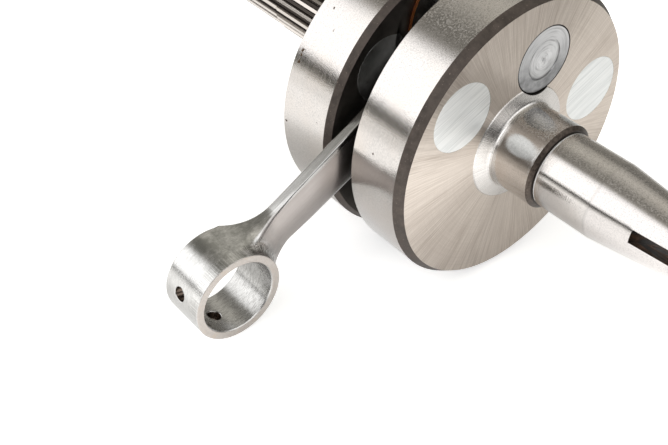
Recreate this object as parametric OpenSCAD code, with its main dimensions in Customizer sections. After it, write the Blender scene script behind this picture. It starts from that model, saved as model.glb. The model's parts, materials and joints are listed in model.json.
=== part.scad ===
// Built-up crankshaft of a small single-cylinder engine, with its connecting rod.
// Millimetres. The crank turns about Y, the rod swings in the XZ plane and +Z is up.
// The origin is the middle of the main bearing seat on the taper side.

/* [Crank webs] */
// Outer radius of both webs
web_radius = 35; // [35:0.5:38]
// Width of the taper-side web
web_width_taper = 15.5; // [15:0.1:16.5]
// Width of the spline-side web
web_width_spline = 15.8; // [15:0.1:16.5]
// Clear distance between the two webs at the rims
web_gap = 7.8; // [7.4:0.1:8.6]
// Distance from the crank axis to the crankpin axis, which is half the stroke
throw = 19.8; // [19.4:0.1:20.2]
// Direction of the crankpin above +X, in degrees
pin_angle = 82.2; // [75:0.1:88]
// Radius of the recess around the crankpin on the inner face of each web
recess_radius = 21.2; // [19:0.1:21.5]

/* [Balance plugs] */
// Radius of the light-alloy plugs
plug_radius = 8; // [7:0.25:8]
// Distance from the crank axis to each plug
plug_offset = 23.85; // [23.6:0.05:24.2]
// Angle from the crankpin to each plug, in degrees
plug_angle = 66; // [62:1:72]

/* [Shafts] */
// Radius of both main bearing seats
journal_radius = 10; // [9.8:0.1:10.5]
// Radius of the plain length beside each bearing seat
shank_radius = 8.85; // [8.6:0.05:9]
// Loss of radius for each millimetre of the ignition taper
taper_rate = 0.11; // [0.1:0.005:0.115]
// Radius over the teeth next to the web
spline_radius = 7.4; // [7.3:0.05:7.6]
// Number of spline teeth
spline_teeth = 19; // [17:1:19]

/* [Connecting rod] */
// Distance between the two eye centres
rod_length = 80; // [78:0.5:84]
// Bore radius of the small end
small_end_bore = 8.5; // [8:0.1:8.7]
// Outer radius of the small end
small_end_radius = 10.5; // [10.3:0.1:11]
// Width of the small end
small_end_width = 11.6; // [11:0.2:13]
// Thickness of the blade at its middle
blade_thickness = 4.2; // [3.6:0.2:5]

/* [Big end] */
// Crankpin radius
pin_radius = 8; // [7.6:0.1:8.2]
// Thickness of the copper-plated thrust washers
washer_thickness = 0.5; // [0.4:0.05:0.6]

/* [Hidden] */
$fn = 96;
origin_to_web = 6.5;
mid = origin_to_web + web_width_taper + web_gap / 2;
face_spline = mid + web_gap / 2 + web_width_spline;
pin_x = throw * cos(pin_angle);
pin_z = throw * sin(pin_angle);
// The rod lies so that its small end reaches the same table as the web rims.
rod_tilt = asin((pin_z + web_radius - small_end_radius) / rod_length);
small_x = pin_x - rod_length * cos(rod_tilt);
small_z = pin_z - rod_length * sin(rod_tilt);
needle_count = 14;
needle_radius = 1.24;
needle_length = 9.9;
needle_edge = 0.2;
needle_pitch = pin_radius + 0.02 + needle_radius;
rod_bore = pin_radius + 2 * needle_radius + 0.04;
big_end_radius = rod_bore + 4.48;
big_end_half = 6;
washer_play = 0.05;
recess_half = big_end_half + washer_thickness + 2 * washer_play;
// How far a cutter reaches past the faces that it opens
past = 5;
alloy = [0.86, 0.86, 0.85];
steel = [0.66, 0.65, 0.63];
copper = [0.72, 0.42, 0.24];

// Points of one ring-shaped thread groove after another, from z = a upwards.
function ridges(a, turns, pitch, r, depth) =
    [for (i = [0:turns - 1]) each [
        [r, a + (i + 0.1) * pitch], [r - depth, a + (i + 0.5) * pitch],
        [r - depth, a + (i + 0.6) * pitch], [r, a + i * pitch + pitch]]];

// Shoulder from a web face up to a bearing seat, as heights above that face.
function shoulder(z, r) = [
    [13.7, z], [13.5, z + 0.22], [11.7, z + 0.7], [r + 0.8, z + 0.95],
    [r + 0.4, z + 1.1], [r + 0.12, z + 1.35], [r, z + 1.7]];

// Chamfer of a bearing seat and the groove that follows it, down to the plain shank.
function relief(z, r, s) = [
    [r, z], [s + 0.3, z + 0.75], [s - 0.3, z + 0.8],
    [s - 0.3, z + 1], [s - 0.15, z + 1.05], [s, z + 1.45]];

// Turned solid whose profile heights run towards the taper end.
module turned_to_taper(points) {
    rotate([90, 0, 0]) rotate_extrude() polygon(points);
}

// Turned solid whose profile heights run towards the spline end.
module turned_to_spline(points) {
    rotate([-90, 0, 0]) rotate_extrude() polygon(points);
}

// Round bar along Y, placed by the angle above +X and the distance from the axis.
module bar(angle, dist, r, y0, y1) {
    translate([dist * cos(angle), y0, dist * sin(angle)])
        rotate([-90, 0, 0]) cylinder(r = r, h = y1 - y0);
}

// Recess in an inner web face that clears the rod's big end.
module recess(side) {
    y0 = side < 0 ? mid - recess_half : mid;
    y1 = side < 0 ? mid : mid + recess_half;
    bar(pin_angle, throw, recess_radius, y0, y1);
}

// Bores for the crankpin and the two plugs of one web.
module web_bores(y0, y1) {
    bar(pin_angle, throw, pin_radius, y0, y1);
    bar(pin_angle - plug_angle, plug_offset, plug_radius, y0, y1);
    bar(pin_angle + plug_angle, plug_offset, plug_radius, y0, y1);
}

// Cone-shaped centre mark at a shaft end; r at the face.
module centre_mark(y, dir, r) {
    translate([0, y - dir * 2.6, 0]) rotate([dir > 0 ? -90 : 90, 0, 0])
        cylinder(r1 = 0.5, r2 = r, h = 2.7);
}

// Web, bearing seat, ignition taper, keyway and thread in one forging.
module crank_half_taper() {
    w = origin_to_web;
    taper_start = 26.4;
    taper_end = 52;
    thread_start = 54.7;
    shaft_end = 66.9;
    // The key slot is left by a disc cutter that plunges into the taper.
    key_height = 42.8;
    key_width = 3;
    cutter_radius = 6.5;
    cutter_offset = 9.4;
    end_r = shank_radius - taper_rate * (taper_end - taper_start);
    profile = concat(
        [[0, -web_width_taper], [web_radius - 0.35, -web_width_taper],
         [web_radius, -web_width_taper + 0.35], [web_radius, -2.1], [web_radius - 1.35, 0]],
        shoulder(0, journal_radius),
        relief(11.65, journal_radius, shank_radius),
        [[shank_radius, taper_start], [end_r, taper_end], [4.25, taper_end + 0.3],
         [4.25, thread_start - 0.7], [5, thread_start]],
        ridges(thread_start, 9, 1.25, 5, 0.7),
        [[5, shaft_end - 0.7], [4.3, shaft_end], [0, shaft_end]]);
    color(steel) difference() {
        translate([0, w, 0]) turned_to_taper(profile);
        web_bores(w - past, mid);
        recess(-1);
        rotate([0, -(pin_angle + 90.5), 0]) translate([cutter_offset, w - key_height, 0])
            cylinder(r = cutter_radius, h = key_width, center = true);
        centre_mark(w - shaft_end, -1, 1.9);
    }
}

// Web, bearing seat, seal seat, spline and thread in one forging.
module crank_half_spline() {
    z0 = mid + web_gap / 2;
    f = face_spline;
    // Heights above the outer web face
    spline_start = 19.8;
    thread_start = 60.4;
    shaft_end = 71.4;
    root_radius = spline_radius - 1.1;
    profile = concat(
        [[0, z0], [web_radius - 1.1, z0], [web_radius, z0 + 1.5],
         [web_radius, f - 0.5], [web_radius - 0.5, f]],
        shoulder(f, journal_radius),
        relief(f + 11.65, journal_radius, shank_radius),
        [[shank_radius, f + spline_start - 1.2],
         [shank_radius - 0.4, f + spline_start - 0.8],
         [spline_radius - 0.5, f + spline_start - 0.8],
         [spline_radius - 0.5, f + spline_start],
         [spline_radius, f + spline_start + 0.5], [spline_radius, f + 38.8],
         [spline_radius - 0.25, f + 39.2], [spline_radius - 0.25, f + 57.4],
         [spline_radius - 0.9, f + 58], [5.2, f + 58.2],
         [5.2, f + thread_start - 0.8], [6, f + thread_start]],
        ridges(f + thread_start, 8, 1.25, 6, 0.7),
        [[6, f + shaft_end - 0.7], [5.3, f + shaft_end], [0, f + shaft_end]]);
    color(steel) difference() {
        turned_to_spline(profile);
        web_bores(mid, f + past);
        recess(1);
        for (i = [0:spline_teeth - 1]) rotate([0, i * 360 / spline_teeth, 0])
            translate([0, f + spline_start - 0.3, 0]) rotate([-90, 0, 0])
                linear_extrude(38.6) polygon([[root_radius, -0.36],
                    [root_radius + 1.8, -1.15], [root_radius + 1.8, 1.15],
                    [root_radius, 0.36]]);
        centre_mark(f + shaft_end, 1, 2.1);
    }
}

// Crankpin pressed through both webs, flush with the outer faces.
module crank_pin() {
    w = origin_to_web;
    len = face_spline - w;
    color(steel) translate([pin_x, w, pin_z]) rotate([-90, 0, 0]) rotate_extrude()
        polygon([
            [0, 0.5], [0.55, 0.12], [4.4, 0.12], [4.5, 0.2], [4.7, 0.2], [4.8, 0],
            [pin_radius - 0.3, 0], [pin_radius, 0.3], [pin_radius, len - 0.3],
            [pin_radius - 0.3, len], [4.8, len], [4.7, len - 0.2], [4.5, len - 0.2],
            [4.4, len - 0.12], [0.55, len - 0.12], [0, len - 0.5]]);
}

// One light-alloy plug between y0 and y1, cut back where the recess reaches it.
module plug(angle, y0, y1, side) {
    edge = 0.05;
    color(alloy) difference() {
        translate([plug_offset * cos(angle), y0, plug_offset * sin(angle)])
            rotate([-90, 0, 0]) rotate_extrude() polygon([
                [0, 0], [plug_radius - edge, 0], [plug_radius, edge],
                [plug_radius, y1 - y0 - edge], [plug_radius - edge, y1 - y0], [0, y1 - y0]]);
        recess(side);
    }
}

module plug_taper_front() {
    plug(pin_angle + plug_angle, origin_to_web, mid - web_gap / 2, -1);
}
module plug_taper_rear() {
    plug(pin_angle - plug_angle, origin_to_web, mid - web_gap / 2, -1);
}
module plug_spline_front() {
    plug(pin_angle + plug_angle, mid + web_gap / 2, face_spline, 1);
}
module plug_spline_rear() {
    plug(pin_angle - plug_angle, mid + web_gap / 2, face_spline, 1);
}

// Half width of the blade at the distance u from the small end.
function blade_width(u) =
    u < 17 ? 5.2 + 3 * pow((17 - u) / 10, 2)
    : 5.2 + (u - 17) / 36 + (u > rod_length - 27 ? 3.5 * pow((u - rod_length + 27) / 15, 2) : 0);

// Half thickness of the flares where the blade grows into each eye.
function flare(d, reach, top) = 1 + (top - 1) * pow((reach - d) / (reach - 8.6), 2.2);

// Profile of one flare as a closed outline, from the eye outwards.
module flare_outline(reach, top) {
    n = 12;
    d = [for (i = [0:n]) 8.6 + (reach - 8.6) * i / n];
    polygon(concat([[6, top]], [for (v = d) [v, flare(v, reach, top)]],
        [for (i = [0:n]) [d[n - i], -flare(d[n - i], reach, top)]], [[6, -top]]));
}

// Rod along +X with the small end at the origin, thickness along Y.
module rod_shape() {
    n = 40;
    u0 = 7;
    u1 = rod_length - 12;
    us = [for (i = [0:n]) u0 + (u1 - u0) * i / n];
    h = small_end_width / 2;
    lens = 16;
    // The oil holes stand this far to each side of the outward direction.
    oil_hole_angle = 41;
    difference() {
        union() {
            rotate([90, 0, 0]) cylinder(r = small_end_radius, h = 2 * h, center = true);
            translate([rod_length, 0, 0]) rotate([90, 0, 0])
                cylinder(r = big_end_radius, h = 2 * big_end_half, center = true);
            intersection() {
                rotate([90, 0, 0]) linear_extrude(2 * h + 2, center = true) polygon(concat(
                    [for (u = us) [u, blade_width(u)]],
                    [for (i = [0:n]) [us[n - i], -blade_width(us[n - i])]]));
                union() {
                    intersection() {
                        translate([0, lens - blade_thickness / 2, 0]) rotate([0, 90, 0])
                            cylinder(r = lens, h = rod_length);
                        translate([0, blade_thickness / 2 - lens, 0]) rotate([0, 90, 0])
                            cylinder(r = lens, h = rod_length);
                    }
                    linear_extrude(40, center = true) flare_outline(17, h - 0.3);
                    translate([rod_length - 3.4, 0, 0]) mirror([1, 0, 0])
                        linear_extrude(40, center = true) flare_outline(20.6, 5.4);
                }
            }
        }
        rotate([90, 0, 0]) cylinder(r = small_end_bore, h = 20, center = true);
        translate([rod_length, 0, 0]) rotate([90, 0, 0])
            cylinder(r = rod_bore, h = 20, center = true);
        for (side = [-1, 1]) rotate([0, 180 + side * oil_hole_angle, 0])
            translate([small_end_bore / 2, 0, 0]) rotate([0, 90, 0])
                cylinder(r = 1.5, h = small_end_radius);
    }
}

module connecting_rod() {
    color(steel) translate([small_x, mid, small_z]) rotate([0, -rod_tilt, 0]) rod_shape();
}

// Cage with one window for each roller.
module needle_cage() {
    color([0.55, 0.5, 0.42]) translate([pin_x, mid, pin_z]) rotate([90, 0, 0]) difference() {
        cylinder(r = rod_bore - 0.42, h = 11.6, center = true);
        cylinder(r = pin_radius + 0.4, h = 12, center = true);
        for (i = [0:needle_count - 1]) rotate([0, 0, i * 360 / needle_count])
            translate([needle_pitch, 0, 0])
                cube([5, 2 * needle_radius + 0.08, needle_length + 0.1], center = true);
    }
}

// One needle roller with small chamfers at its ends.
module needle(i) {
    a = i * 360 / needle_count;
    color([0.8, 0.8, 0.8]) translate([pin_x, mid, pin_z]) rotate([90, 0, 0])
        translate([needle_pitch * cos(a), needle_pitch * sin(a), -needle_length / 2])
            rotate_extrude() polygon([
                [0, 0], [needle_radius - needle_edge, 0], [needle_radius, needle_edge],
                [needle_radius, needle_length - needle_edge],
                [needle_radius - needle_edge, needle_length], [0, needle_length]]);
}
module needle_01() { needle(0); }
module needle_02() { needle(1); }
module needle_03() { needle(2); }
module needle_04() { needle(3); }
module needle_05() { needle(4); }
module needle_06() { needle(5); }
module needle_07() { needle(6); }
module needle_08() { needle(7); }
module needle_09() { needle(8); }
module needle_10() { needle(9); }
module needle_11() { needle(10); }
module needle_12() { needle(11); }
module needle_13() { needle(12); }
module needle_14() { needle(13); }

// Flat ring between the big end and one web.
module thrust_washer(y) {
    color(copper) translate([pin_x, y, pin_z]) rotate([-90, 0, 0]) difference() {
        cylinder(r = big_end_radius, h = washer_thickness);
        translate([0, 0, -1]) cylinder(r = pin_radius + 0.08, h = 3);
    }
}
module washer_taper() { thrust_washer(mid - big_end_half - washer_play - washer_thickness); }
module washer_spline() { thrust_washer(mid + big_end_half + washer_play); }

crank_half_taper();
crank_half_spline();
crank_pin();
plug_taper_front();
plug_taper_rear();
plug_spline_front();
plug_spline_rear();
connecting_rod();
needle_cage();
washer_taper();
washer_spline();
needle_01();
needle_02();
needle_03();
needle_04();
needle_05();
needle_06();
needle_07();
needle_08();
needle_09();
needle_10();
needle_11();
needle_12();
needle_13();
needle_14();
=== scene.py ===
"""Look of the crankshaft: camera, studio, materials and the finished connecting rod.

The row frame has the crank axis along Y and +Z up, in metres. Sizes are written in millimetres
and multiplied by MM. Directions around the crank axis are angles from +X towards +Z.
"""
import json
import math

import bpy
import numpy as np
from mathutils import Matrix, Vector


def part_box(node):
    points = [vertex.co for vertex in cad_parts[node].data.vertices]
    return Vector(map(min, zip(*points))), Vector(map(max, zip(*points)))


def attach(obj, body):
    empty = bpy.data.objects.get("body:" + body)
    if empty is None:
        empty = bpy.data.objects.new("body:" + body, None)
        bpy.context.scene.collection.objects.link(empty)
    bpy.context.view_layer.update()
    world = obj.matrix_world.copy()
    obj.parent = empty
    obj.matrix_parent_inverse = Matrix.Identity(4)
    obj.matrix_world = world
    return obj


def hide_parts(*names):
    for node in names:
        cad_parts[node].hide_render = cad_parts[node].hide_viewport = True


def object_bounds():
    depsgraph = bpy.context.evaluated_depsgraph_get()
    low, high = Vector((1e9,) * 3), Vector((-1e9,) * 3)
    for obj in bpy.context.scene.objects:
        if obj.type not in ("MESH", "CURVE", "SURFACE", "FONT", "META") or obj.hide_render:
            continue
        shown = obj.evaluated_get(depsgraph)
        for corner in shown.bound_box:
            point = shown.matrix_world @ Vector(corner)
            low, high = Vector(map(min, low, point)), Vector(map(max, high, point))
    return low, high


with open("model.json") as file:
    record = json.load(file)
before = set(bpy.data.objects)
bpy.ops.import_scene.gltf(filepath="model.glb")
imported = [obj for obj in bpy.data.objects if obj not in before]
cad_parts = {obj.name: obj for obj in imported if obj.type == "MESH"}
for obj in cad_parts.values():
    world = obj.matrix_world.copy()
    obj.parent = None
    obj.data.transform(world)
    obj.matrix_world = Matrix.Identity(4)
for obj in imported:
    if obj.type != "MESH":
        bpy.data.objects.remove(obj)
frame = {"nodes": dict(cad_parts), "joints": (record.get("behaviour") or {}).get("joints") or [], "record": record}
cad_low, cad_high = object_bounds()

MM = 0.001
NODES = frame["nodes"]
JOINTS = {joint["name"]: joint for joint in frame["joints"]}
MOUNTS = {mount["name"]: mount for mount in frame["record"]["mounts"]}

# ---------------------------------------------------------------- places from the frame
PIN_CENTRE = Vector(JOINTS["rod_swing"]["pos_m"])
SMALL_END = Vector(MOUNTS["small_end_bore"]["pos_m"])
WEB_RADIUS = cad_high.z
TAPER_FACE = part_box("plug_taper_front")[0].y
SPLINE_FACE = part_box("plug_spline_front")[1].y
SPLINE_RADIUS = 7.4 * MM
# Where the shank runs into the taper, in mm from the outer web face.
SHANK_END = 26.4

# ---------------------------------------------------------------- camera
CAMERA_PLACE = Vector((-164.47, -110.14, 121.38)) * MM
CAMERA_AZIMUTH = -43.81
CAMERA_ELEVATION = 37.05
CAMERA_ROLL = 6.8
CAMERA_LENS = 56.6


def make_camera():
    data = bpy.data.cameras.new("camera")
    data.lens = CAMERA_LENS
    data.sensor_width = 36
    data.clip_start = 0.005
    camera = bpy.data.objects.new("camera", data)
    bpy.context.scene.collection.objects.link(camera)
    turn = (Matrix.Rotation(math.radians(CAMERA_AZIMUTH), 4, "Z")
            @ Matrix.Rotation(math.radians(90 - CAMERA_ELEVATION), 4, "X")
            @ Matrix.Rotation(math.radians(CAMERA_ROLL), 4, "Z"))
    camera.matrix_world = Matrix.Translation(CAMERA_PLACE) @ turn
    bpy.context.scene.camera = camera


# ---------------------------------------------------------------- node helper
class Tree:
    """Short calls for building one node tree."""

    def __init__(self, tree):
        self.nodes = tree.nodes
        self.links = tree.links

    def put(self, socket, value):
        if isinstance(value, bpy.types.NodeSocket):
            self.links.new(value, socket)
        elif value is not None:
            socket.default_value = value

    def node(self, kind, *inputs, output=0, **settings):
        made = self.nodes.new("ShaderNode" + kind)
        for name, value in settings.items():
            setattr(made, name, value)
        for socket, value in zip(made.inputs, inputs):
            self.put(socket, value)
        return made.outputs[output]

    def math(self, operation, *inputs):
        return self.node("Math", *inputs, operation=operation)

    def times(self, first, second):
        return self.math("MULTIPLY", first, second)

    def plus(self, first, second):
        return self.math("ADD", first, second)

    def minus(self, first, second):
        return self.math("SUBTRACT", first, second)

    def split(self, vector):
        made = self.nodes.new("ShaderNodeSeparateXYZ")
        self.put(made.inputs[0], vector)
        return made.outputs

    def join(self, x, y, z):
        return self.node("CombineXYZ", x, y, z)

    def noise(self, vector, scale, detail=2.0, roughness=0.5):
        made = self.nodes.new("ShaderNodeTexNoise")
        self.put(made.inputs["Vector"], vector)
        made.inputs["Scale"].default_value = scale
        made.inputs["Detail"].default_value = detail
        made.inputs["Roughness"].default_value = roughness
        return made.outputs[0]

    def streaks(self, parts, scales, detail, roughness=0.5):
        """Noise over x, y and z, each with its own scale, so that the pattern is drawn out."""
        stretched = [self.times(part, scale) for part, scale in zip(parts, scales)]
        return self.noise(self.join(*stretched), 1.0, detail, roughness)

    def remap(self, value, low, high, to_low=0.0, to_high=1.0):
        return self.node("MapRange", value, low, high, to_low, to_high, clamp=True)

    def ramp(self, value, stops):
        """Colour along value; stops are (place, grey) or (place, (red, green, blue))."""
        made = self.nodes.new("ShaderNodeValToRGB")
        self.put(made.inputs[0], value)
        elements = made.color_ramp.elements
        while len(elements) < len(stops):
            elements.new(0.5)
        for element, (place, colour) in zip(elements, stops):
            element.position = place
            rgb = colour if isinstance(colour, tuple) else (colour,) * 3
            element.color = (*rgb, 1)
        return made.outputs[0]

    def mix(self, share, first, second, blend="MIX"):
        made = self.nodes.new("ShaderNodeMix")
        made.data_type = "RGBA"
        made.blend_type = blend
        for index, value in ((0, share), (6, first), (7, second)):
            if isinstance(value, tuple) and len(value) == 3:
                value = (*value, 1)
            self.put(made.inputs[index], value)
        return made.outputs[2]


class Material(Tree):
    """One Principled material with its node tree."""

    def __init__(self, name, metallic=1.0, anisotropy=0.0):
        self.data = bpy.data.materials.new(name)
        self.data.use_nodes = True
        super().__init__(self.data.node_tree)
        self.surface = self.nodes["Principled BSDF"]
        self.surface.inputs["Metallic"].default_value = metallic
        self.surface.inputs["Anisotropic"].default_value = anisotropy
        self.place = self.node("TexCoord", output=3)

    def set(self, colour=None, roughness=None, normal=None):
        if isinstance(colour, tuple):
            colour = (*colour, 1)
        self.put(self.surface.inputs["Base Color"], colour)
        self.put(self.surface.inputs["Roughness"], roughness)
        self.put(self.surface.inputs["Normal"], normal)

    def bump(self, height, depth, strength=1.0, normal=None):
        """Bump whose height of 0 to 1 is depth millimetres tall."""
        made = self.nodes.new("ShaderNodeBump")
        made.inputs["Strength"].default_value = strength
        made.inputs["Distance"].default_value = depth * MM
        self.put(made.inputs["Height"], height)
        self.put(made.inputs["Normal"], normal)
        return made.outputs[0]

    def around(self, a, b):
        """Distance from an axis and the two parts of the unit direction around it."""
        radius = self.math("SQRT", self.plus(self.times(a, a), self.times(b, b)))
        return radius, self.math("DIVIDE", a, radius), self.math("DIVIDE", b, radius)


# ---------------------------------------------------------------- materials
STEEL = (0.53, 0.505, 0.485)
SCALE_BROWN = (0.050, 0.040, 0.034)
MARK_PITCH = 0.16
SCRATCH_SLANT = 28


def scaled(colour, factor):
    """Colour made darker or lighter by factor."""
    return tuple(value * factor for value in colour)


# Rust specks on the rims: angle around the crank axis, place along it and size, in mm.
RUST_SPECKS = ((156.9, 43.7, 0.55), (158.8, 43.6, 0.35), (161.2, 43.6, 0.6), (145.3, 38.4, 0.3),
               (138.9, 41.6, 0.3), (185.7, 44.3, 0.35), (177.6, 33.8, 0.2), (174.0, 16.0, 0.2))


def rust(m):
    """Share of rust at each point: a few specks with ragged edges."""
    ragged = m.times(m.minus(m.noise(m.place, 2200, 3, 0.7), 0.5), 1.6 * MM)
    share = 0.0
    for angle, along, size in RUST_SPECKS:
        turn = math.radians(angle)
        spot = (WEB_RADIUS * math.cos(turn), along * MM, WEB_RADIUS * math.sin(turn))
        distance = m.node("VectorMath", m.place, spot, operation="DISTANCE", output=1)
        near = m.remap(m.plus(distance, ragged), size * MM, 0.6 * size * MM)
        share = m.math("MAXIMUM", share, near)
    return share


def ground_steel(name, colour, low, high, grain=0.014, spots=False, seam=False):
    """Ground round surface: marks around the axis, fine grain and faint stains.

    low and high limit the roughness and grain is a bump depth in millimetres. spots adds the
    rust specks, and seam the tool marks where the shank runs into the taper.
    """
    m = Material(name)
    x, y, z = m.split(m.place)
    radius, cx, cz = m.around(x, z)
    marks = m.streaks((y, cx, cz), (1 / (MARK_PITCH * MM), 1.5, 1.5), 3, 0.6)
    speckle = m.streaks((cx, y, cz), (147, 4600, 147), 3, 0.6)
    fine = m.noise(m.place, 3600, 3, 0.65)
    cloud = m.noise(m.place, 75, 3)
    flecks = m.remap(m.math("MINIMUM", fine, speckle), 0.34, 0.5)
    shade = m.mix(flecks, scaled(colour, 0.77), scaled(colour, 1.03))
    shade = m.mix(m.remap(marks, 0.55, 0.8, 0, 0.4), shade, scaled(colour, 0.8))
    warm = (colour[0] * 0.98, colour[1] * 0.94, colour[2] * 0.90)
    shade = m.mix(m.remap(cloud, 0.45, 0.75, 0, 0.8), shade, warm)
    # Coarser grit shows along the top, where the wheel left the surface open.
    coarse = m.noise(m.place, 2600, 2)
    grit = m.times(m.remap(coarse, 0.50, 0.60), m.remap(cz, 0.76, 0.84, 0.02, 0.28))
    pits = m.times(m.remap(coarse, 0.46, 0.38), m.remap(cz, 0.76, 0.84, 0.0, 0.6))
    shade = m.mix(pits, shade, scaled(colour, 0.55))
    rough = m.plus(m.remap(fine, 0.25, 0.75, low, high), grit)
    if seam:
        off = m.math("ABSOLUTE", m.minus(y, TAPER_FACE - SHANK_END * MM))
        ridge = m.times(m.remap(off, 0.5 * MM, 0.1 * MM), m.remap(speckle, 0.45, 0.6))
        shade = m.mix(ridge, shade, scaled(colour, 0.7))
    if spots:
        share = rust(m)
        shade = m.mix(share, shade, (0.06, 0.04, 0.025))
        rough = m.plus(rough, m.times(share, 0.4))
    normal = m.bump(marks, 1.6 * grain)
    height = m.plus(fine, m.times(speckle, 0.5))
    m.set(shade, rough, m.bump(height, grain, normal=normal))
    return m.data


def turned_face(name, dark, light, low, high, anisotropy=0.85):
    """Turned face: grooves around the axis, so the light fans out in rays. The rays in its colour are partly
    scratches and partly painted highlight streaks, and the broad lighter fans are painted highlights.
    """
    m = Material(name, anisotropy=anisotropy)
    m.surface.inputs["Anisotropic Rotation"].default_value = 0.25
    m.put(m.surface.inputs["Tangent"], m.node("Tangent", direction_type="RADIAL", axis="Y"))
    x, y, z = m.split(m.place)
    radius, cx, cz = m.around(x, z)
    scratch_and_painted_rays = m.streaks((cx, cz, radius), (105, 105, 95), 3, 0.7)
    painted_highlight_fans = m.streaks((cx, cz, radius), (9, 9, 20), 3, 0.6)
    grooves = m.streaks((radius, cx, cz), (5200, 1, 1), 2, 0.6)
    # Partly real scratches, partly painted highlight streaks: rays lighten and darken the colour.
    colour = m.mix(m.remap(scratch_and_painted_rays, 0.36, 0.66), dark, light)
    # Painted highlight: broad fans of lighter colour stand in for the light fanning out from the grooves.
    colour = m.mix(m.remap(painted_highlight_fans, 0.4, 0.7, 0, 0.5), colour, light)
    colour = m.mix(m.remap(grooves, 0.3, 0.7, 0, 0.3), colour, dark)
    height = m.plus(m.plus(m.times(grooves, 0.5), scratch_and_painted_rays), m.times(painted_highlight_fans, 2.0))
    m.set(colour, m.remap(scratch_and_painted_rays, 0.25, 0.75, high, low), m.bump(height, 0.02))
    return m.data


def tooth_steel():
    """Spline teeth: light on top, near black down in the valleys."""
    m = Material("tooth_steel")
    x, y, z = m.split(m.place)
    radius, cx, cz = m.around(x, z)
    grain = m.noise(m.place, 1200, 4, 0.65)
    worn = m.plus(radius, m.times(m.minus(grain, 0.5), 0.4 * MM))
    top = m.remap(worn, SPLINE_RADIUS - 0.75 * MM, SPLINE_RADIUS - 0.25 * MM)
    colour = m.mix(top, (0.055, 0.047, 0.041), (0.47, 0.435, 0.40))
    m.set(colour, m.remap(top, 0, 1, 0.5, 0.27), m.bump(grain, 0.01))
    return m.data


def collar_steel():
    """Turned chamfer between a bearing seat and its groove, browned and dull."""
    m = Material("collar_steel", metallic=0.9)
    patch = m.noise(m.place, 1500, 4, 0.65)
    colour = m.mix(m.remap(patch, 0.35, 0.7), (0.036, 0.028, 0.023), (0.11, 0.088, 0.073))
    m.set(colour, 0.42, m.bump(patch, 0.03))
    return m.data


def forged_scale_and_shade(name, colour=SCALE_BROWN):
    """Dark oxide that a machined edge left standing; in the groove the same dark colour is painted shade."""
    m = Material(name, metallic=0.55)
    patch = m.noise(m.place, 500, 4, 0.65)
    fine = m.noise(m.place, 3000, 2)
    shade = m.mix(m.remap(patch, 0.35, 0.7), colour, scaled(colour, 1.9))
    shade = m.mix(m.remap(fine, 0.66, 0.74), shade, scaled(colour, 4))
    m.set(shade, m.remap(patch, 0.3, 0.7, 0.42, 0.6), m.bump(fine, 0.02, 0.5))
    return m.data


def keyway_oxide():
    """Cutter marks in the key slot, black with a rusty bloom."""
    m = Material("keyway_oxide", metallic=0.5)
    x, y, z = m.split(m.place)
    streak = m.streaks((x, y, z), (900, 160, 900), 4, 0.65)
    colour = m.mix(m.remap(streak, 0.42, 0.6), (0.008, 0.007, 0.006), (0.075, 0.040, 0.022))
    colour = m.mix(m.remap(streak, 0.62, 0.68), colour, (0.30, 0.17, 0.10))
    m.set(colour, m.remap(streak, 0.3, 0.7, 0.35, 0.55), m.bump(streak, 0.08))
    return m.data


def alloy_plug():
    """Faced aluminium with long scratches in one direction."""
    m = Material("alloy_plug", metallic=0.85)
    x, y, z = m.split(m.place)
    slant = math.radians(SCRATCH_SLANT)
    along = m.plus(m.times(x, math.cos(slant)), m.times(z, math.sin(slant)))
    across = m.minus(m.times(z, math.cos(slant)), m.times(x, math.sin(slant)))
    scratch = m.streaks((along, across, y), (60, 2400, 1), 4, 0.7)
    wide = m.streaks((along, across, y), (40, 500, 1), 2)
    colour = m.mix(m.remap(scratch, 0.35, 0.62), (0.60, 0.62, 0.615), (0.84, 0.855, 0.85))
    colour = m.mix(m.remap(wide, 0.4, 0.65, 0, 0.6), colour, (0.86, 0.87, 0.865))
    m.set(colour, m.remap(scratch, 0.3, 0.7, 0.38, 0.5), m.bump(scratch, 0.02))
    return m.data


def pin_end(centre):
    """End face of the crankpin: rings around its own centre, a lighter middle, and painted light that makes the
    ring outside the middle lighter towards the top.
    """
    m = Material("pin_end", anisotropy=0.7)
    m.surface.inputs["Anisotropic Rotation"].default_value = 0.25
    m.put(m.surface.inputs["Tangent"], m.node("Tangent", direction_type="RADIAL", axis="Y"))
    x, y, z = m.split(m.place)
    radius, cx, cz = m.around(m.minus(x, centre.x), m.minus(z, centre.z))
    rings = m.streaks((radius, cx, cz), (2600, 1, 1), 3, 0.6)
    cloud = m.noise(m.place, 300, 4, 0.65)
    disc = m.times(m.remap(radius, 4.5 * MM, 3.9 * MM), 0.7)
    middle = m.plus(disc, m.remap(radius, 2.6 * MM, 2.3 * MM, 0, 0.3))
    # Painted light: the ring outside the middle goes from dark at the bottom to light at the top.
    painted_light_upper = m.remap(m.minus(z, centre.z), -4 * MM, 6 * MM)
    ground = m.mix(painted_light_upper, (0.18, 0.18, 0.185), (0.58, 0.58, 0.585))
    colour = m.mix(middle, ground, (0.60, 0.60, 0.605))
    colour = m.mix(m.remap(cloud, 0.4, 0.7, 0, 0.5), colour, (0.55, 0.555, 0.56))
    colour = m.mix(m.remap(rings, 0.5, 0.7, 0, 0.6), colour, (0.24, 0.24, 0.245))
    edge = m.remap(radius, 7.6 * MM, 7.8 * MM)
    colour = m.mix(edge, colour, (0.04, 0.04, 0.04))
    m.set(colour, m.remap(rings, 0.3, 0.7, 0.3, 0.42), m.bump(rings, 0.03))
    return m.data


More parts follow.
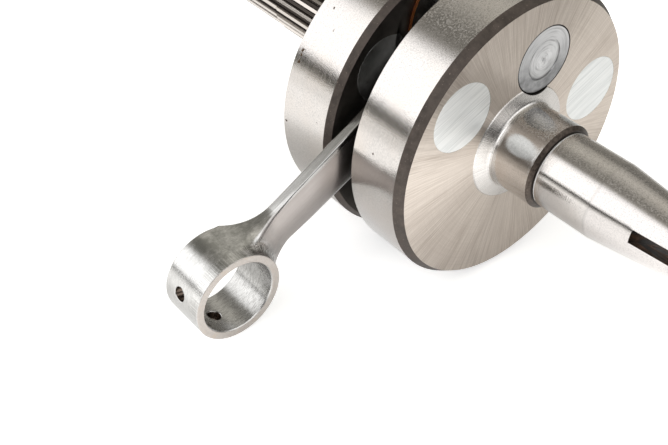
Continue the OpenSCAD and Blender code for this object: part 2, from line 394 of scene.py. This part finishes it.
def plain_metal(name, colour, low, high, scale=900, metallic=1.0, depth=0.01):
    """Evenly worn metal with fine grain."""
    m = Material(name, metallic=metallic)
    grain = m.noise(m.place, scale, 4, 0.6)
    cloud = m.noise(m.place, scale / 8, 2)
    shade = m.mix(m.remap(grain, 0.3, 0.7), scaled(colour, 0.75), colour)
    shade = m.mix(m.remap(cloud, 0.5, 0.8, 0, 0.4), shade, scaled(colour, 0.6))
    m.set(shade, m.remap(grain, 0.3, 0.7, low, high), m.bump(grain, depth, 0.5))
    return m.data


# ---------------------------------------------------------------- studio
BACKDROP_LEVEL = 1.02
STUDIO_LEVEL = 2.7
STUDIO_TINT = (1.0, 0.965, 0.87)
# Angle around the crank axis and level, for the dim walls and for the lit panel.
STUDIO_DIM = ((0, 0.14), (10, 0.145), (22, 0.12), (38, 0.11), (50, 0.25), (66, 0.30), (76, 0.25),
              (86, 0.19), (94, 0.125), (111, 0.11), (116, 0.14), (121, 0.0), (172, 0.0), (177, 0.05),
              (184, 0.05), (188, 0.54), (270, 0.46), (330, 0.17), (360, 0.14))
STUDIO_BRIGHT = ((0, 0.0), (112, 0.0), (115.5, 0.10), (118, 0.26), (122, 0.60), (128, 0.76),
                 (138, 0.81), (150, 0.82), (171.5, 0.80), (174, 0.14), (176, 0.0), (360, 0.0))


def make_world():
    """White backdrop for the camera, and softboxes that only light and reflections see."""
    world = bpy.data.worlds.new("studio")
    bpy.context.scene.world = world
    world.use_nodes = True
    tree = Tree(world.node_tree)
    background = world.node_tree.nodes["Background"]
    x, y, z = tree.split(tree.node("TexCoord", output=0))
    # The far edge of the table sinks a little for directions closer to the crank's length.
    raised = tree.plus(z, tree.remap(y, 0.43, 0.576, 0.06, 0.0))
    turn = tree.math("FRACT", tree.math("DIVIDE", tree.math("ARCTAN2", raised, x), math.tau))
    studio = tree.ramp(turn, [(angle / 360, tuple(level * tint for tint in STUDIO_TINT))
                              for angle, level in STUDIO_DIM])
    # The ceiling is a little lighter above the shafts than above the webs.
    above = tree.times(tree.remap(y, 0.576, 0.43), tree.remap(z, 0.78, 0.86))
    studio = tree.mix(above, studio, (0.045, 0.043, 0.039), blend="ADD")
    bright = tree.ramp(turn, [(angle / 360, level) for angle, level in STUDIO_BRIGHT])
    studio = tree.mix(1.0, studio, bright, blend="ADD")
    front = tree.ramp(z, [(0.0, 0.03), (0.3, 0.03), (0.45, 0.75)])
    share = tree.times(tree.remap(y, -0.25, -0.5), tree.remap(z, 0.72, 0.6))
    studio = tree.mix(share, studio, front)
    camera_ray = tree.node("LightPath", output=0)
    tree.put(background.inputs["Color"], tree.mix(camera_ray, studio, (1.0, 1.0, 1.0)))
    strength = tree.plus(tree.times(camera_ray, BACKDROP_LEVEL - STUDIO_LEVEL), STUDIO_LEVEL)
    tree.put(background.inputs["Strength"], strength)
    bpy.context.scene.view_settings.view_transform = "Standard"


FLOOR_REACH = 0.5
FLOOR_CORNERS = 96


def make_floor():
    """Pale round table top that ends well outside the view; it glows, and its glow is painted light."""
    rim = []
    for i in range(FLOOR_CORNERS):
        turn = i * math.tau / FLOOR_CORNERS
        rim.append((FLOOR_REACH * math.cos(turn), FLOOR_REACH * math.sin(turn), cad_low.z))
    mesh = bpy.data.meshes.new("floor")
    mesh.from_pydata(rim, [], [tuple(range(FLOOR_CORNERS))])
    floor = bpy.data.objects.new("floor", mesh)
    bpy.context.scene.collection.objects.link(floor)
    m = Material("floor", metallic=0.0)
    m.surface.inputs["Emission Color"].default_value = (1, 1, 1, 1)
    m.surface.inputs["Specular IOR Level"].default_value = 0.1
    x, y, z = m.split(m.place)
    distance, _, _ = m.around(x, y)
    # Light that reflections see, apart from what the camera sees of the table top: a glow painted with bright and
    # dark patches, painted reflections and painted shadows.
    reach = m.plus(distance, m.remap(y, 0.03, 0.0, 0.0, 0.066))
    behind = m.ramp(reach, [(0.04, 0.02), (0.085, 0.40), (0.11, 0.9), (0.2, 0.9), (0.3, 0.7)])
    near = m.ramp(y, [(0.0, 0.16), (0.012, 0.20), (0.027, 0.38), (0.035, 0.34), (0.045, 0.03)])
    behind = m.mix(m.remap(reach, 0.07, 0.10), near, behind)
    behind = m.mix(m.remap(x, 0.0, 0.03), behind, (0.02, 0.02, 0.02))
    before = m.ramp(distance, [(0.0, 1.2), (0.10, 1.2), (0.15, 0.1), (0.5, 0.08)])
    before = m.mix(m.remap(x, 0.0, 0.04, 0.0, 0.6), before, (0.2, 0.2, 0.2))
    lit = m.mix(m.remap(y, -0.003, -0.032), behind, before)
    edge = m.times(m.remap(distance, 0.20, 0.26), m.remap(y, 0.20, 0.13))
    lit = m.mix(edge, lit, (0.05, 0.05, 0.05))
    # Light that the camera sees: the glow is dimmer near the crank, a painted soft shadow, and the table stays
    # white around it.
    seen = m.remap(distance, 0.10, 0.18, 0.51, 0.75)
    glow = m.mix(m.node("LightPath", output=0), lit, seen)
    m.put(m.surface.inputs["Emission Strength"], glow)
    paper = m.noise(m.place, 400, 3)
    m.set(m.mix(paper, (0.82, 0.82, 0.82), (0.86, 0.86, 0.86)), 0.8, m.bump(paper, 0.01, 0.2))
    mesh.materials.append(m.data)


# ---------------------------------------------------------------- zones of the CAD nodes
def paint(node, zones, choose=lambda point, normal: "all"):
    """Gives a CAD node the materials in zones; choose returns a zone name for one face."""
    mesh = NODES[node].data
    mesh.materials.clear()
    order = list(zones)
    for name in order:
        mesh.materials.append(zones[name])
    for face in mesh.polygons:
        face.material_index = order.index(choose(face.center, face.normal))


# Zones along the shafts and where each ends, in mm from the outer web face. Past them is thread. The bright zone
# is a narrow chamfer with a painted highlight.
SHAFT_ZONES = ((0.01, "face"), (1.7, "hub"), (11.64, "journal"), (12.41, "collar"),
               (12.75, "groove"), (13.05, "bright"))
TAPER_ZONES = (*SHAFT_ZONES, (SHANK_END, "shank"), (52.05, "taper"))
SPLINE_ZONES = (*SHAFT_ZONES, (18.8, "shank"), (57.5, "teeth"))
# The key slot lies between these places along the taper and inside this radius, in mm.
KEYWAY_SPAN = (36, 56)
KEYWAY_RADIUS = 8.8


def stretch_at(height, zones):
    """Name of the stretch of a shaft at this height over the web face."""
    return next((name for end, name in zones if height < end), "thread")


def on_rim(radius, normal):
    return radius > WEB_RADIUS / MM - 0.2 and abs(normal.y) < 0.05


def taper_zone(point, normal):
    """Zone of a face of the taper-side half."""
    height = (TAPER_FACE - point.y) / MM
    radius = math.hypot(point.x, point.z) / MM
    outward = normal.x * point.x + normal.z * point.z
    if height < -0.01:
        if on_rim(radius, normal):
            return "rim"
        edge = radius > WEB_RADIUS / MM - 1.4 and height > -2.2
        return "chamfer" if edge and outward > 0 else "inside"
    in_slot = KEYWAY_SPAN[0] < height < KEYWAY_SPAN[1] and radius < KEYWAY_RADIUS
    if in_slot and outward < 0.2 * radius * MM:
        return "keyway"
    return stretch_at(height, TAPER_ZONES)


def spline_zone(point, normal):
    """Zone of a face of the spline-side half."""
    height = (point.y - SPLINE_FACE) / MM
    radius = math.hypot(point.x, point.z) / MM
    if height < -0.01:
        if on_rim(radius, normal):
            return "rim"
        if radius > WEB_RADIUS / MM - 1.2 and abs(normal.y) < 0.95:
            return "edge" if height > -0.6 else "chamfer"
        return "inside"
    return stretch_at(height, SPLINE_ZONES)


def pin_zone(point, normal):
    return "end" if abs(normal.y) > 0.3 else "side"


def plug_zone(point, normal):
    """The outer ends of the plugs are faced with the web, and the rest stays dull."""
    outer = point.y < TAPER_FACE + 0.2 * MM or point.y > SPLINE_FACE - 0.2 * MM
    return "out" if outer else "in"


# ---------------------------------------------------------------- build
make_camera()
make_world()
make_floor()

steel_zones = {
    "rim": ground_steel("rim_steel", STEEL, 0.07, 0.12, grain=0.009, spots=True),
    "face": turned_face("turned_face", (0.44, 0.38, 0.33), (0.66, 0.60, 0.54), 0.34, 0.42, 0.95),
    "chamfer": forged_scale_and_shade("chamfer_scale"),
    # Oxide and painted shade: the inner faces of the webs are coloured near black.
    "inside": plain_metal("inner_web_oxide_and_shade", (0.10, 0.09, 0.08), 0.35, 0.5, 500),
    "hub": turned_face("hub_steel", (0.54, 0.52, 0.50), (0.68, 0.66, 0.64), 0.22, 0.3, 0.6),
    "journal": ground_steel("journal_steel", (0.63, 0.615, 0.60), 0.04, 0.08, grain=0.006),
    "collar": collar_steel(),
    # Painted shade: the groove is coloured near black where shade falls.
    "groove": forged_scale_and_shade("groove_painted_shade", (0.030, 0.024, 0.020)),
    # Painted highlight: the narrow chamfer past the groove is near white to stand in for the light it catches.
    "bright": plain_metal("painted_highlight_edge", (0.92, 0.91, 0.89), 0.3, 0.45, metallic=0.3),
    "shank": ground_steel("shank_steel", STEEL, 0.04, 0.07, grain=0.006, seam=True),
    "taper": ground_steel("taper_steel", (0.52, 0.495, 0.48), 0.04, 0.07, grain=0.006, seam=True),
    "keyway": keyway_oxide(),
    "thread": plain_metal("thread_steel", (0.46, 0.43, 0.40), 0.25, 0.4),
    "teeth": tooth_steel(),
    "edge": plain_metal("edge_steel", (0.17, 0.155, 0.145), 0.3, 0.4),
}
paint("crank_half_taper", steel_zones, taper_zone)
paint("crank_half_spline", steel_zones, spline_zone)

pin_zones = {
    "end": pin_end(PIN_CENTRE),
    "side": plain_metal("pin_side", (0.5, 0.5, 0.5), 0.15, 0.25),
}
paint("crank_pin", pin_zones, pin_zone)

plug_zones = {
    "out": alloy_plug(),
    "in": plain_metal("plug_inner", (0.34, 0.34, 0.335), 0.3, 0.45, 600, depth=0.03),
}
for name in ("plug_taper_front", "plug_taper_rear", "plug_spline_front", "plug_spline_rear"):
    paint(name, plug_zones, plug_zone)

washer_zones = {"all": plain_metal("washer_copper", (0.72, 0.25, 0.09), 0.3, 0.45, metallic=0.6)}
cage_zones = {"all": plain_metal("cage_steel", (0.30, 0.26, 0.21), 0.35, 0.5)}
roller_zones = {"all": plain_metal("needle_steel", (0.66, 0.66, 0.67), 0.08, 0.14)}
paint("washer_taper", washer_zones)
paint("washer_spline", washer_zones)
paint("needle_cage", cage_zones)
for name in NODES:
    if name.startswith("needle_") and name != "needle_cage":
        paint(name, roller_zones)


# ---------------------------------------------------------------- connecting rod
# Sizes in mm, in the rod's own axes: u from the small end to the pin, w across, v thickness.
ROD_LENGTH = (PIN_CENTRE - SMALL_END).length / MM
EYE_RADIUS = 10.5
EYE_HALF = 5.8
EYE_BORE = 8.5
BIG_RADIUS = (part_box("washer_taper")[1].x - PIN_CENTRE.x) / MM
BIG_HALF = 6.0
BIG_BORE = 10.52
BLADE_HALF_WIDTH = 5.2
BLADE_EDGE = 1.15
BLADE_LENS = 0.9
BLADE_SHIFT = 0.45
# Length over which the blade grows 1 mm wider on each side.
BLADE_TAPER = 36
# Flares of the blade: distance from the eye's centre where it begins, length, rise and power.
FRONT_FLARE = (17, 8, 2.6, 1.76)
BACK_FLARE = (21, 13.6, 4.5, 2.8)
BIG_FLARE = (22, 12, 4.0, 2.2)
BIG_WIDENING = (27, 15, 3.5, 2)
NECK_FILLET = 22.0
NECK_REACH = EYE_RADIUS + NECK_FILLET
NECK_CENTRE = math.sqrt(NECK_REACH ** 2 - (BLADE_HALF_WIDTH + NECK_FILLET) ** 2)
NECK_START = NECK_CENTRE * EYE_RADIUS / NECK_REACH
BORE_CHAMFER = 0.3
OIL_HOLE_RADIUS = 1.6
# Angle of each oil hole from the far end of the small eye, its shift along the bore and how
# much it narrows for each millimetre towards the outside.
OIL_HOLES = ((-40.0, 0.8, 0.0), (42.5, 0.0, 0.3))
CELL = 0.18


def smaller(a, b, blend):
    """Union of two solids with a fillet of radius blend."""
    round_part = np.hypot(np.maximum(blend - a, 0), np.maximum(blend - b, 0))
    return np.maximum(blend, np.minimum(a, b)) - round_part


def larger(a, b, blend):
    """Overlap of two solids with its edge rounded to radius blend."""
    round_part = np.hypot(np.maximum(blend + a, 0), np.maximum(blend + b, 0))
    return np.minimum(-blend, np.maximum(a, b)) + round_part


def flare(distance, start, length, rise, power):
    """Growth that begins where distance falls below start."""
    return rise * (np.maximum(start - distance, 0) / length) ** power


def blade_half_width(u):
    """Half width of the blade, tangent to the small end and widening at the big end."""
    before = np.minimum(u - NECK_CENTRE, 0)
    arc = np.sqrt(np.maximum(NECK_FILLET ** 2 - before ** 2, 0))
    neck = BLADE_HALF_WIDTH + NECK_FILLET - arc
    shank = np.maximum(u - NECK_CENTRE, 0) / BLADE_TAPER
    return neck + shank + flare(ROD_LENGTH - u, *BIG_WIDENING)


def blade_half_thickness(u, w, v):
    """Half thickness on the side of v: a lens that flares into both eyes."""
    across = np.clip(np.abs(w) / np.maximum(blade_half_width(u), 1), 0, 1.2)
    lens = BLADE_EDGE + BLADE_LENS * (1 - across ** 2)
    front = flare(u, *FRONT_FLARE) - BLADE_SHIFT
    back = flare(u, *BACK_FLARE) + BLADE_SHIFT
    return lens + np.where(v < 0, front, back) + flare(ROD_LENGTH - u, *BIG_FLARE)


def rod_field(point):
    """Signed distance in millimetres, roughly: negative inside the rod."""
    u, w, v = point[..., 0], point[..., 1], point[..., 2]
    small = np.hypot(u, w)
    large = np.hypot(u - ROD_LENGTH, w)
    small_eye = larger(small - EYE_RADIUS, np.abs(v) - EYE_HALF, 0.25)
    big_eye = larger(large - BIG_RADIUS, np.abs(v) - BIG_HALF, 0.4)
    half_width = blade_half_width(u)
    # The side curves outwards at the neck, where this brings its distance back to true length.
    slope = 1 / np.sqrt(1 + 0.35 * (np.clip(17 - u, 0, 8) / 8) ** 2)
    side = (np.abs(w) - half_width) * slope
    side = np.maximum(side, np.maximum(NECK_START - u, u - ROD_LENGTH + 6))
    face = np.abs(v) - np.minimum(blade_half_thickness(u, w, v), EYE_HALF)
    # The front edges are rounded more towards the neck, as they are polished there.
    neck = np.clip((24 - u) / 12, 0, 1) ** 1.3
    blade = larger(side, face, 0.35 + 1.5 * neck * (v < 0))
    inward = np.clip((half_width - np.abs(w)) / 2.5, 0.01, 1)
    solid = smaller(smaller(small_eye, blade, 1.6 * inward), big_eye, 1.2 * inward)
    for radius, distance, half in ((EYE_BORE, small, EYE_HALF), (BIG_BORE, large, BIG_HALF)):
        chamfer = radius + BORE_CHAMFER - (half - np.abs(v))
        bevel = (chamfer - distance) * math.sqrt(0.5)
        solid = np.maximum(solid, np.maximum(radius - distance, bevel))
    for angle, shift, narrowing in OIL_HOLES:
        turn = math.pi - math.radians(angle)
        along = u * math.cos(turn) + w * math.sin(turn)
        off = np.hypot(w * math.cos(turn) - u * math.sin(turn), v - shift)
        hole = np.maximum(off - OIL_HOLE_RADIUS + narrowing * (along - EYE_BORE), 4 - along)
        solid = larger(solid, -hole, 0.25)
    return solid


def gradient(field, point, step=0.02):
    """Slope of the field at each point."""
    slopes = []
    for axis in range(3):
        shift = np.zeros(3)
        shift[axis] = step
        slopes.append((field(point + shift) - field(point - shift)) / (2 * step))
    return np.stack(slopes, -1)


def surface_net(field, low, high, cell):
    """Vertices and quads of the zero level of field, one vertex in each cell it crosses."""
    axes = [np.arange(a, b + cell, cell) for a, b in zip(low, high)]
    grid = np.stack(np.meshgrid(*axes, indexing="ij"), -1)
    values = field(grid)
    inside = values < 0
    corners = [(i, j, k) for i in (0, 1) for j in (0, 1) for k in (0, 1)]

    def corner(array, c):
        return array[tuple(slice(o, n - 1 + o) for o, n in zip(c, inside.shape))]

    count = sum(corner(inside, c).astype(int) for c in corners)
    active = (count > 0) & (count < 8)
    index = -np.ones(active.shape, int)
    index[active] = np.arange(active.sum())
    total = np.zeros((active.sum(), 3))
    hits = np.zeros(active.sum())
    for c in corners:
        for axis in range(3):
            if c[axis]:
                continue
            d = tuple(o + (n == axis) for n, o in enumerate(c))
            a, b = corner(values, c)[active], corner(values, d)[active]
            crossing = (a < 0) != (b < 0)
            share = np.where(crossing, a / np.where(crossing, a - b, 1), 0)[:, None]
            p, q = corner(grid, c)[active], corner(grid, d)[active]
            total += np.where(crossing[:, None], p + share * (q - p), 0)
            hits += crossing
    points = total / hits[:, None]

    quads = []
    for axis in range(3):
        first, second = [n for n in range(3) if n != axis]
        size = list(inside.shape)
        size[axis] -= 1
        start = inside[tuple(slice(0, s) for s in size)]
        end = np.take(inside, range(1, inside.shape[axis]), axis)
        spots = np.argwhere(start != end)
        spots = spots[(spots[:, first] > 0) & (spots[:, second] > 0)]
        ring = []
        for da, db in ((1, 1), (0, 1), (0, 0), (1, 0)):
            cell_at = spots.copy()
            cell_at[:, first] -= da
            cell_at[:, second] -= db
            ring.append(index[tuple(cell_at.T)])
        ring = np.stack(ring, -1)
        flip = start[tuple(spots.T)] != (axis == 1)
        ring[~flip] = ring[~flip][:, ::-1]
        quads.append(ring)
    # A few steps along the slope bring each vertex onto the surface itself.
    for _ in range(4):
        slope = gradient(field, points)
        move = field(points)[:, None] * slope / np.maximum((slope ** 2).sum(-1), 0.05)[:, None]
        points -= np.clip(move, -0.3 * cell, 0.3 * cell)
    return points, np.concatenate(quads)


def make_rod():
    """Connecting rod as one smooth mesh, in its own axes: along, across, thickness."""
    low = (-EYE_RADIUS - 0.5, -BIG_RADIUS - 0.5, -BIG_HALF - 0.5)
    high = (ROD_LENGTH + BIG_RADIUS + 0.5, BIG_RADIUS + 0.5, BIG_HALF + 0.5)
    points, quads = surface_net(rod_field, low, high, CELL)
    slope = gradient(rod_field, points)
    mesh = bpy.data.meshes.new("connecting_rod_body")
    mesh.from_pydata((points * MM).tolist(), [], quads.tolist())
    mesh.update()
    mesh.polygons.foreach_set("use_smooth", np.ones(len(quads), bool))
    normals = slope / np.linalg.norm(slope, axis=-1)[:, None]
    mesh.normals_split_custom_set_from_vertices(normals.tolist())
    rod = bpy.data.objects.new("connecting_rod_body", mesh)
    bpy.context.scene.collection.objects.link(rod)
    along = (PIN_CENTRE - SMALL_END).normalized()
    thickness = Vector((0, 1, 0))
    across = thickness.cross(along)
    turn = Matrix((along, across, thickness)).transposed().to_4x4()
    rod.matrix_world = Matrix.Translation(SMALL_END) @ turn
    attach(rod, "rod")
    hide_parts("connecting_rod")
    return rod


def file_marks(m, u, w, v, radius):
    """Crossed file marks, and their share where the blade runs out against the front ring."""
    rising = m.plus(u, w)
    falling = m.minus(u, w)
    crossed = m.math("MAXIMUM", m.streaks((rising, falling, 0.0), (2400, 260, 1), 2),
                     m.streaks((rising, falling, 5.0), (260, 2400, 1), 2))
    beside = m.remap(radius, (EYE_RADIUS - 0.1) * MM, (EYE_RADIUS + 0.3) * MM)
    share = m.times(m.times(m.remap(v, -2.6 * MM, -3.4 * MM), beside),
                    m.remap(u, 16.5 * MM, 14.5 * MM))
    return crossed, share


def end_ring(m, height, half, radius, outer):
    """Share of the flat ring at the end of an eye that reaches from its bore to outer."""
    return m.times(m.remap(height, (half - 0.12) * MM, (half - 0.04) * MM),
                   m.remap(radius, (outer + 0.1) * MM, outer * MM))


def rod_steel():
    """Polished rod: flat end rings stay matt, bores are honed across, oil holes are dark."""
    m = Material("rod_steel")
    u, w, v = m.split(m.place)
    radius, cu, cw = m.around(u, w)
    big_radius, _, _ = m.around(m.minus(u, ROD_LENGTH * MM), w)
    height = m.math("ABSOLUTE", v)
    cloud = m.noise(m.place, 170, 4, 0.65)
    fine = m.noise(m.place, 3200, 3, 0.65)

    # Marks run around each eye and along the blade, and the bore is darker between them.
    hone = m.streaks((cu, cw, v), (6, 6, 3600), 3, 0.65)
    drawn = m.streaks((u, w, v), (120, 2600, 2600), 3, 0.6)
    eye = m.remap(radius, (EYE_RADIUS + 1.5) * MM, (EYE_RADIUS - 0.5) * MM)
    marks = m.mix(eye, drawn, hone)
    colour = m.mix(m.remap(marks, 0.3, 0.7), (0.44, 0.435, 0.425), (0.60, 0.595, 0.585))
    colour = m.mix(m.remap(cloud, 0.45, 0.7, 0, 0.55), colour, (0.40, 0.395, 0.385))
    bore = m.remap(radius, (EYE_BORE + 0.15) * MM, (EYE_BORE + 0.05) * MM)
    colour = m.mix(m.times(bore, m.remap(hone, 0.42, 0.6)), colour, (0.33, 0.325, 0.315))

    # The blade's middle is warm and dull, and its narrow sides are polished.
    middle = m.times(m.remap(m.math("ABSOLUTE", w), 5.0 * MM, 4.4 * MM),
                     m.remap(u, 10 * MM, 13 * MM))
    colour = m.mix(m.times(middle, 0.8), colour, (0.335, 0.30, 0.283))
    rough = m.plus(m.remap(fine, 0.3, 0.7, 0.22, 0.29), m.times(middle, 0.07))
    sides = m.times(m.minus(1.0, eye), m.minus(1.0, middle))
    rough = m.minus(rough, m.times(sides, 0.10))

    # The outside of the small eye is darker beside the neck in blotches: a painted dark reflection.
    beside = m.times(m.remap(u, -3 * MM, 2 * MM), m.remap(u, 16 * MM, 12 * MM))
    beside = m.times(beside, m.remap(radius, (EYE_RADIUS - 0.5) * MM, EYE_RADIUS * MM))
    painted_dark_reflection = m.times(beside, m.remap(m.noise(m.place, 260, 4, 0.7), 0.42, 0.6, 0, 0.8))
    colour = m.mix(painted_dark_reflection, colour, (0.25, 0.25, 0.235))

    crossed, filed = file_marks(m, u, w, v, radius)
    scratched = m.mix(m.remap(crossed, 0.48, 0.62), (0.24, 0.235, 0.22), (0.78, 0.775, 0.76))
    colour = m.mix(filed, colour, scratched)
    rough = m.plus(rough, m.times(filed, 0.12))

    ring = m.math("MAXIMUM", end_ring(m, height, EYE_HALF, radius, EYE_RADIUS + 0.4),
                  end_ring(m, height, BIG_HALF, big_radius, BIG_RADIUS + 0.3))
    flat = m.mix(m.remap(fine, 0.3, 0.7), (0.42, 0.385, 0.355), (0.54, 0.505, 0.475))
    browned = m.remap(m.noise(m.place, 500, 3, 0.6), 0.55, 0.7, 0, 0.5)
    colour = m.mix(ring, colour, m.mix(browned, flat, (0.50, 0.42, 0.35)))
    rough = m.plus(rough, m.times(ring, 0.25))

    # The walls of the oil holes are darker, between the bore and the outside.
    wall = m.times(m.remap(radius, (EYE_BORE + 0.1) * MM, (EYE_BORE + 0.3) * MM),
                   m.remap(radius, (EYE_RADIUS - 0.05) * MM, (EYE_RADIUS - 0.25) * MM))
    inner = m.remap(height, (EYE_HALF - 1.2) * MM, (EYE_HALF - 1.6) * MM)
    hole = m.times(m.times(wall, inner), m.remap(u, 0.0, -1 * MM))
    colour = m.mix(hole, colour, (0.13, 0.10, 0.08))

    normal = m.bump(marks, 0.01)
    normal = m.bump(m.times(crossed, filed), 0.12, normal=normal)
    open_grain = m.times(fine, m.minus(1.0, sides))
    m.set(colour, rough, m.bump(open_grain, 0.008, normal=normal))
    return m.data


rod = make_rod()
rod.data.materials.append(rod_steel())
